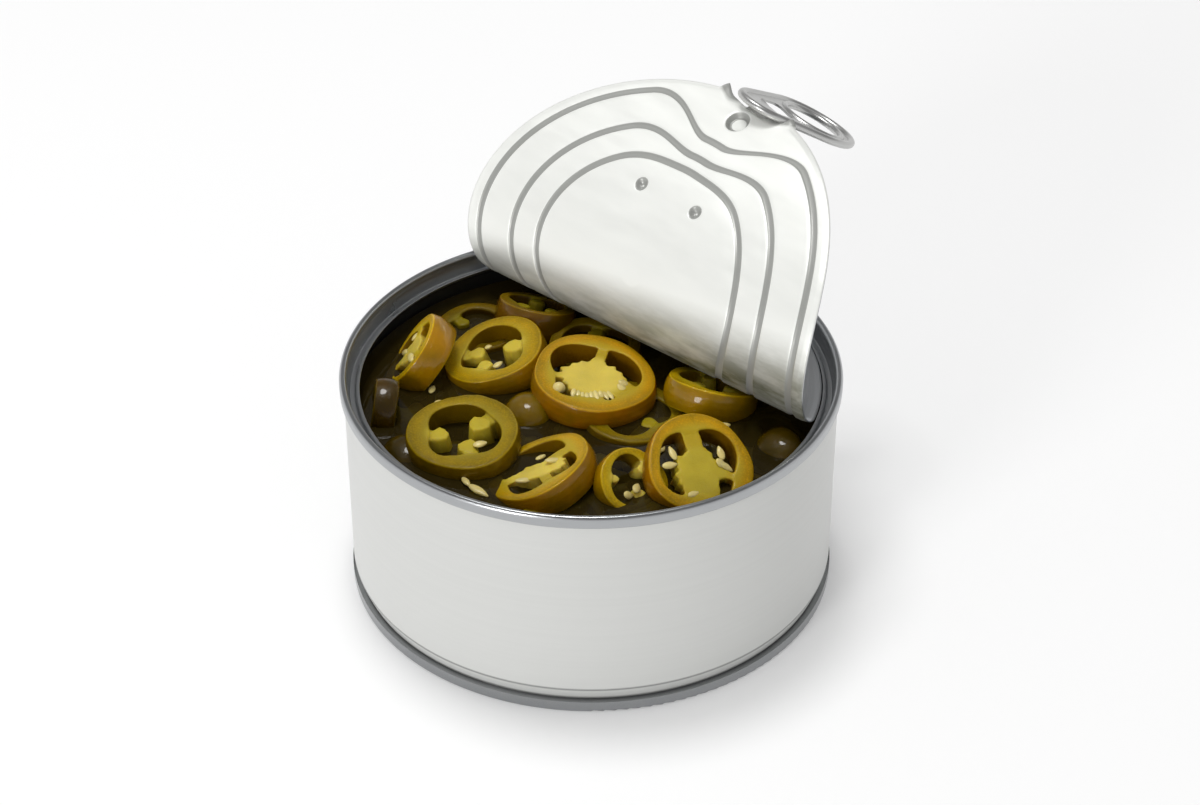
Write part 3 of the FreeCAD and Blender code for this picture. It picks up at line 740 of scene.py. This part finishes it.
def wall_ring(bm, radius, thickness, share, seed, lobes):
    """The pepper's wall between two cuts, hollowed more between its ribs."""
    inner, half = radius * (1 - share), thickness / 2
    bulge = radius * 0.03
    points = [(inner, -half), (radius - 0.25, -half), (radius + bulge * 0.6, -half * 0.5),
              (radius + bulge, 0), (radius + bulge * 0.6, half * 0.5), (radius - 0.25, half), (inner, half)]
    verts = [bm.verts.new((x, 0, z)) for x, z in points]
    edges = [bm.edges.new((a, b)) for a, b in zip(verts, verts[1:] + verts[:1])]
    bmesh.ops.spin(bm, geom=verts + edges, cent=(0, 0, 0), axis=(0, 0, 1), angle=2 * math.pi,
                   steps=90, use_merge=True)
    for vert in bm.verts:
        turn = math.atan2(vert.co.y, vert.co.x)
        away = math.hypot(vert.co.x, vert.co.y)
        grow = pepper_outline(turn, seed)
        if away < inner * 1.01:
            near = max([math.cos(turn - math.radians(lobe)) for lobe in lobes], default=0)
            grow *= 1.08 - 0.20 * max(0.0, near) ** 6 + 0.03 * math.cos(4 * turn + 3 * seed)
        vert.co.x *= grow
        vert.co.y *= grow


def upright_block(bm, x, y, rx, ry, turn, height, sides=20, lumps=0.0, seed=0.0, taper=1.0):
    """Upright oval block with an uneven outline."""
    made = bmesh.ops.create_cone(bm, cap_ends=True, segments=sides, radius1=1, radius2=taper, depth=height)
    for vert in made["verts"]:
        a = math.atan2(vert.co.y, vert.co.x)
        grow = 1 + lumps * (math.sin(5 * a + seed) * 0.5 + math.sin(9 * a + 2 * seed) * 0.35
                            + math.sin(16 * a + 3 * seed) * 0.4)
        vert.co.x *= rx * grow
        vert.co.y *= ry * grow
    bmesh.ops.rotate(bm, verts=made["verts"], cent=(0, 0, 0), matrix=Matrix.Rotation(turn, 3, "Z"))
    bmesh.ops.translate(bm, verts=made["verts"], vec=(x, y, 0))


def spoke(bm, radius, turn, inner, outer, wide, height):
    """Upright rib along a spoke, between two shares of the radius."""
    middle, half = radius * (inner + outer) / 2, radius * (outer - inner) / 2
    upright_block(bm, middle * math.cos(turn), middle * math.sin(turn), half + 0.3, wide * radius,
                  turn, height)


def pepper_bmesh(item, seed):
    """Parts of one slice, lying flat with its middle at the origin."""
    radius, thickness, share, form = item[5], item[6], item[8], item[9]
    bm = bmesh.new()
    if form.get("cap"):
        made = bmesh.ops.create_uvsphere(bm, u_segments=48, v_segments=24, radius=1)["verts"]
        for vert in made:
            grow = pepper_outline(math.atan2(vert.co.y, vert.co.x), seed)
            vert.co = (vert.co.x * radius * grow, vert.co.y * radius * grow, vert.co.z * thickness * 0.55)
        return bm
    stubs = form.get("stubs", ())
    ribs = form.get("ribs", ())
    wall_ring(bm, radius, thickness, share, seed, [s[0] for s in stubs] + [r[0] for r in ribs])
    for k, (turn, away, size) in enumerate(stubs):
        turn = math.radians(turn)
        spoke(bm, radius, turn, away, 0.9, 0.15, thickness * 0.76)
        upright_block(bm, away * radius * math.cos(turn), away * radius * math.sin(turn),
                      size * radius * 1.15, size * radius * 1.2, turn + 0.5 * k, thickness * 0.86, 8, 0.22, seed + k, 0.72)
    for turn, wide in ribs:
        spoke(bm, radius, math.radians(turn), 0.1, 0.92, wide, thickness * 0.94)
    if "pith" in form:
        x, y, rx, ry = (value * radius for value in form["pith"])
        upright_block(bm, x, y, rx, ry, 0, thickness * 0.93, 90, 0.15, seed)
    bmesh.ops.recalc_face_normals(bm, faces=bm.faces)
    return bm


def remeshed(bm, name, voxel):
    """One closed skin round all the parts of a piece."""
    mesh = bpy.data.meshes.new(name + "_parts")
    bm.to_mesh(mesh)
    bm.free()
    carrier = bpy.data.objects.new(name + "_parts", mesh)
    bpy.context.scene.collection.objects.link(carrier)
    skin = carrier.modifiers.new("skin", "REMESH")
    skin.mode = "VOXEL"
    skin.voxel_size = voxel
    soft = carrier.modifiers.new("soft", "SMOOTH")
    soft.factor = 0.5
    soft.iterations = 2
    graph = bpy.context.evaluated_depsgraph_get()
    result = bpy.data.meshes.new_from_object(carrier.evaluated_get(graph))
    result.name = name
    bpy.data.objects.remove(carrier)
    bpy.data.meshes.remove(mesh)
    return result


def uneven(points, seed):
    """Slow waves over an array of points, about -1 to 1."""
    total = np.zeros(len(points))
    rng = random.Random(int(seed * 100))
    for k in range(6):
        way = np.array([rng.gauss(0, 1) for _ in range(3)]) * (0.16 + 0.1 * k)
        total += np.sin(points @ way + rng.uniform(0, 6.3)) * (0.5 - 0.06 * k)
    return total / 1.6


def pale_share(x, y, radius, form):
    """How much of each point is pith rather than wall, 0 to 1."""
    best = np.zeros(len(x))
    for turn, away, size in form.get("stubs", ()):
        turn = math.radians(turn)
        gap = np.hypot(x - away * radius * math.cos(turn), y - away * radius * math.sin(turn))
        gap /= size * radius
        best = np.maximum(best, 1 - soft_step(0.7, 1.6, gap))
    if "pith" in form:
        px, py, rx, ry = form["pith"]
        gap = np.hypot((x / radius - px) / rx, (y / radius - py) / ry)
        best = np.maximum(best, 1 - soft_step(0.85, 1.3, gap))
    return best


def mark_pepper(mesh, item, seed):
    """Uneven surface, and attributes that say which tissue each point belongs to, where the painted highlight
    of the cut edge goes and where the hollows get painted shade.
    """
    radius, share, form = item[5], item[8], item[9]
    count = len(mesh.vertices)
    points, normals = np.empty(count * 3), np.empty(count * 3)
    mesh.vertices.foreach_get("co", points)
    mesh.vertices.foreach_get("normal", normals)
    points, normals = points.reshape(-1, 3), normals.reshape(-1, 3)
    x, y = points[:, 0], points[:, 1]
    out = radius * pepper_outline(np.arctan2(y, x), seed)
    level = np.abs(normals[:, 2])
    away = np.hypot(x, y)
    skin = soft_step(out - 0.5, out - 0.05, away) * (1 - soft_step(0.6, 0.92, level))
    # rim marks where the cut edge rounds over, where a painted highlight goes.
    rim = soft_step(out - 0.6, out - 0.3, away) * soft_step(0.35, 0.6, level)
    rim *= 0.5 * (1 - soft_step(0.93, 0.99, level))
    outer = np.clip((away / out - 0.97 * (1 - share)) / share, 0, 1)
    pith = pale_share(x, y, radius, form)
    if form.get("cap"):
        skin, rim = np.ones(count), np.zeros(count)
    # The hollow value darkens the inner walls that face the hollows, as painted shade.
    hollow = (1 - soft_step(0.35, 0.8, level)) * (1 - skin) * (1 - 0.75 * pith)
    for name, values in (("skin", skin), ("rim", rim), ("outer", outer), ("pith", pith), ("hollow", hollow)):
        mesh.attributes.new(name, "FLOAT", "POINT").data.foreach_set("value", values)
    place = points + np.array((31 * seed, 0, 0))
    mesh.attributes.new("cut_place", "FLOAT_VECTOR", "POINT").data.foreach_set("vector", place.ravel())
    points = points + normals * (0.2 * uneven(points, seed))[:, None]
    mesh.vertices.foreach_set("co", points.ravel())


def slice_place(item, level):
    """Matrix that leans a flat slice down toward its heading and puts it in the can, in millimetres."""
    x, y, z, heading, tilt = item[:5]
    matrix = Matrix.Translation((x, y, z + level)) @ Matrix.Rotation(math.radians(heading), 4, "Z")
    matrix @= Matrix.Rotation(math.radians(tilt), 4, "Y")
    return matrix @ Matrix.Rotation(math.radians(-heading), 4, "Z")


def add_slice(name, pepper, item, seed, voxel, materials):
    """Builds one slice and puts it in its place in the can."""
    mesh = remeshed(pepper_bmesh(item, seed), name, voxel)
    mark_pepper(mesh, item, seed)
    mesh.transform(Matrix.Scale(MM, 4) @ slice_place(item, pepper.brine_level))
    return add_piece(mesh, name, materials, True, ("sliced_jalapenos",))


class JALAPENO_OT_slices(bpy.types.Operator):
    """The pepper slices that stand out of the brine"""
    bl_idname = "jalapeno.slices"
    bl_label = "Top slices"

    def execute(self, context):
        pepper = context.scene.jalapeno_pepper
        for index, item in enumerate(SLICES):
            warm, form = item[7], item[9]
            material = pepper_material(pepper, f"pepper_{index + 1:02d}", warm,
                                       form.get("pale", 1.0), form.get("tone", 1.0))
            add_slice(f"slice_{index + 1:02d}", pepper, item, 0.7 + index * 1.31, pepper.voxel, [material])
        return {"FINISHED"}


class JALAPENO_OT_sunk_slices(bpy.types.Operator):
    """Slices below the brine's surface"""
    bl_idname = "jalapeno.sunk_slices"
    bl_label = "Sunk slices"

    def execute(self, context):
        pepper = context.scene.jalapeno_pepper
        rng = random.Random(11)
        material = pepper_material(pepper, "pepper_sunk", -0.6)
        places = []
        tries = 0
        while len(places) < SUNK_COUNT and tries < 4000:
            tries += 1
            away, turn = SUNK_REACH * math.sqrt(rng.random()), rng.uniform(0, 2 * math.pi)
            x, y = away * math.cos(turn), away * math.sin(turn)
            if all(math.hypot(x - a, y - b) > SUNK_GAP for a, b in places):
                places.append((x, y))
        for index, (x, y) in enumerate(places):
            form = {"stubs": [(120 * k + rng.uniform(-15, 15), 0.4, 0.2) for k in range(3)]}
            item = (x, y, rng.uniform(-6.5, -4.5), rng.uniform(0, 360), rng.uniform(0, 18),
                    rng.uniform(8.5, 11.5), 5.5, -0.4, 0.3, form)
            add_slice(f"sunk_slice_{index + 1:02d}", pepper, item, 30 + index * 1.7, SUNK_VOXEL, [material])
        return {"FINISHED"}


class JALAPENO_OT_brine(bpy.types.Operator):
    """Brine up to its level, over the unseen core of the heap"""
    bl_idname = "jalapeno.brine"
    bl_label = "Brine and core"

    def execute(self, context):
        pepper = context.scene.jalapeno_pepper
        for name, radius, low, high, material in (
                ("deep_heap", CORE_RADIUS, CORE_FOOT, CORE_TOP, heap_shade_material(pepper)),
                ("brine", BRINE_RADIUS, CORE_TOP, pepper.brine_level, brine_material(pepper))):
            bm = bmesh.new()
            made = bmesh.ops.create_cone(bm, cap_ends=True, segments=128, radius1=radius, radius2=radius,
                                         depth=high - low)
            bmesh.ops.translate(bm, verts=made["verts"], vec=(0, 0, (low + high) / 2))
            rims = [e for e in bm.edges if abs(e.verts[0].co.z - e.verts[1].co.z) < 1e-6]
            bmesh.ops.bevel(bm, geom=rims, offset=0.4, affect="EDGES", segments=3, profile=0.5, material=-1)
            finish_mesh(bm, name, [material], False, ("sliced_jalapenos",))
        return {"FINISHED"}


def add_seed(bm, x, y, z, turn, lean, half_length, half_width, matrix):
    """Flat drop-shaped seed."""
    made = bmesh.ops.create_uvsphere(bm, u_segments=16, v_segments=10, radius=1)["verts"]
    thick = half_width * (0.95 if half_length < half_width * 1.1 else 0.5)
    for vert in made:
        pinch = 1 - 0.4 * soft_step(-0.1, 1.0, vert.co.x)
        vert.co = Vector((vert.co.x * half_length, vert.co.y * half_width * pinch, vert.co.z * thick))
    place = matrix @ Matrix.Translation((x, y, z)) @ Matrix.Rotation(turn, 4, "Z")
    place @= Matrix.Rotation(lean, 4, "Y")
    bmesh.ops.transform(bm, matrix=place, verts=made)


class JALAPENO_OT_seeds(bpy.types.Operator):
    """Seeds on the pith and in the hollows, and loose ones on the brine"""
    bl_idname = "jalapeno.seeds"
    bl_label = "Seeds"

    def execute(self, context):
        pepper = context.scene.jalapeno_pepper
        material = seed_material(pepper)
        rng = random.Random(5)
        for index, seeds in SEEDS.items():
            item = SLICES[index]
            radius, top = item[5], item[6] / 2
            bm = bmesh.new()
            for x, y, turn, half_length, half_width in seeds:
                add_seed(bm, x * radius, y * radius, top - rng.uniform(0.0, 0.4), math.radians(turn),
                         rng.uniform(0.0, 0.5), half_length, half_width,
                         slice_place(item, pepper.brine_level))
            finish_mesh(bm, f"seeds_{index + 1:02d}", [material])
        bm = bmesh.new()
        for x, y, z, turn, half_length, half_width in LOOSE:
            add_seed(bm, x, y, pepper.brine_level + z, math.radians(turn), 0.1, half_length, half_width,
                     Matrix.Identity(4))
        finish_mesh(bm, "loose_seeds", [material])
        return {"FINISHED"}


# ---------------------------------------------------------------- stage
CAMERA_PLACE = (0.0018146, -0.463377, 0.367196)
AMBIENT = 0.57          # strength of the surroundings as light
CEILING = 0.2           # how bright mirrors see the ceiling
FLOOR_GLOW = 0.17       # own light of the floor, seen by the camera and by mirrors only


def add_lamp(name, place, target, size, power):
    """Round soft lamp that faces a target."""
    lamp = bpy.data.lights.new(name, "AREA")
    lamp.shape = "DISK"
    lamp.size = size
    lamp.energy = power
    holder = bpy.data.objects.new(name, lamp)
    holder.location = place
    holder.rotation_euler = (Vector(target) - Vector(place)).to_track_quat("-Z", "Y").to_euler()
    bpy.context.scene.collection.objects.link(holder)


def by_ray(tree, other, eye):
    """Number that is eye for camera rays and for the mirror rays of metal and glass, else other."""
    path = tree.nodes.new("ShaderNodeLightPath")
    seen = tree.nodes.new("ShaderNodeMath")
    seen.operation = "MAXIMUM"
    tree.links.new(path.outputs["Is Camera Ray"], seen.inputs[0])
    tree.links.new(path.outputs["Is Glossy Ray"], seen.inputs[1])
    span = tree.nodes.new("ShaderNodeMapRange")
    span.inputs["To Min"].default_value = other
    span.inputs["To Max"].default_value = eye
    tree.links.new(seen.outputs[0], span.inputs["Value"])
    return span, path


def studio_world(scene, ambient, ceiling):
    """White round the horizon, with a darker ceiling that only mirrors see."""
    world = bpy.data.worlds.new("studio")
    scene.world = world
    world.use_nodes = True
    tree = world.node_tree
    tree.nodes.clear()
    out = tree.nodes.new("ShaderNodeOutputWorld")
    back = tree.nodes.new("ShaderNodeBackground")
    back.inputs["Color"].default_value = (1, 1, 1, 1)
    tree.links.new(back.outputs[0], out.inputs["Surface"])
    span, path = by_ray(tree, ambient, 1.0)
    place = tree.nodes.new("ShaderNodeTexCoord")
    split = tree.nodes.new("ShaderNodeSeparateXYZ")
    tree.links.new(place.outputs["Generated"], split.inputs[0])
    height = tree.nodes.new("ShaderNodeMapRange")
    for socket, value in (("From Min", 0.1), ("From Max", 0.45), ("To Min", 1.0), ("To Max", ceiling)):
        height.inputs[socket].default_value = value
    tree.links.new(split.outputs["Z"], height.inputs["Value"])
    mirror = tree.nodes.new("ShaderNodeMix")
    tree.links.new(path.outputs["Is Glossy Ray"], mirror.inputs[0])
    tree.links.new(span.outputs["Result"], mirror.inputs[2])
    tree.links.new(height.outputs["Result"], mirror.inputs[3])
    tree.links.new(mirror.outputs[0], back.inputs["Strength"])


class JALAPENO_OT_stage(bpy.types.Operator):
    """Camera, pale floor, white surroundings and soft lamps"""
    bl_idname = "jalapeno.stage"
    bl_label = "Stage"

    def execute(self, context):
        scene = context.scene
        look = scene.jalapeno_stage
        camera = bpy.data.cameras.new("camera")
        camera.lens = look.lens
        camera.sensor_width = 36
        holder = bpy.data.objects.new("camera", camera)
        holder.location = CAMERA_PLACE
        holder.rotation_euler = (math.pi / 2 - look.pitch, 0, 0)
        scene.collection.objects.link(holder)
        scene.camera = holder

        bm = bmesh.new()
        bmesh.ops.create_circle(bm, cap_ends=True, segments=64, radius=3)
        mesh = bpy.data.meshes.new("floor")
        bm.to_mesh(mesh)
        bm.free()
        floor = bpy.data.objects.new("floor", mesh)
        scene.collection.objects.link(floor)
        n = Nodes("floor")
        n.value("Base Color", (*look.floor, 1))
        n.value("Roughness", 0.9)
        n.value("Specular IOR Level", 0.1)
        n.value("Emission Color", (1, 1, 1, 1))
        span, _ = by_ray(n.tree, 0.0, FLOOR_GLOW)
        n.link(span, "Result", n.shader, "Emission Strength")
        mesh.materials.append(n.material)
        studio_world(scene, AMBIENT, CEILING)
        add_lamp("top", (-0.12, 0.18, 1.15), (0, 0, 0.03), 0.35, look.top_power)
        add_lamp("side", (-0.70, -1.0, 0.45), (0, 0, 0.04), 0.4, look.side_power)
        scene.view_settings.view_transform = "Standard"
        return {"FINISHED"}


class JALAPENO_PT_panel(bpy.types.Panel):
    """Buttons for each piece of the can"""
    bl_label = "Open can of jalapenos"
    bl_idname = "JALAPENO_PT_panel"
    bl_space_type = "VIEW_3D"
    bl_region_type = "UI"
    bl_category = "Jalapenos"

    def draw(self, context):
        for name in STEPS:
            self.layout.operator("jalapeno." + name)
        for group, kind in GROUPS.items():
            box = self.layout.box()
            for name in kind.__annotations__:
                box.prop(getattr(context.scene, group), name)


STEPS = ("stage", "tinware", "end_ring", "lid", "brine", "slices", "seeds", "sunk_slices")
GROUPS = {"jalapeno_can": JALAPENO_PG_can, "jalapeno_roll": JALAPENO_PG_roll,
          "jalapeno_pepper": JALAPENO_PG_pepper, "jalapeno_stage": JALAPENO_PG_stage}
OPERATORS = (JALAPENO_OT_stage, JALAPENO_OT_tinware, JALAPENO_OT_end_ring, JALAPENO_OT_lid, JALAPENO_OT_brine,
             JALAPENO_OT_slices, JALAPENO_OT_seeds, JALAPENO_OT_sunk_slices, JALAPENO_PT_panel)


def register():
    for kind in (*GROUPS.values(), *OPERATORS):
        bpy.utils.register_class(kind)
    for group, kind in GROUPS.items():
        setattr(bpy.types.Scene, group, PointerProperty(type=kind))


def unregister():
    for group in GROUPS:
        delattr(bpy.types.Scene, group)
    for kind in reversed((*GROUPS.values(), *OPERATORS)):
        bpy.utils.unregister_class(kind)


def main():
    register()
    for name in STEPS:
        getattr(bpy.ops.jalapeno, name)()


if __name__ == "__main__":
    main()
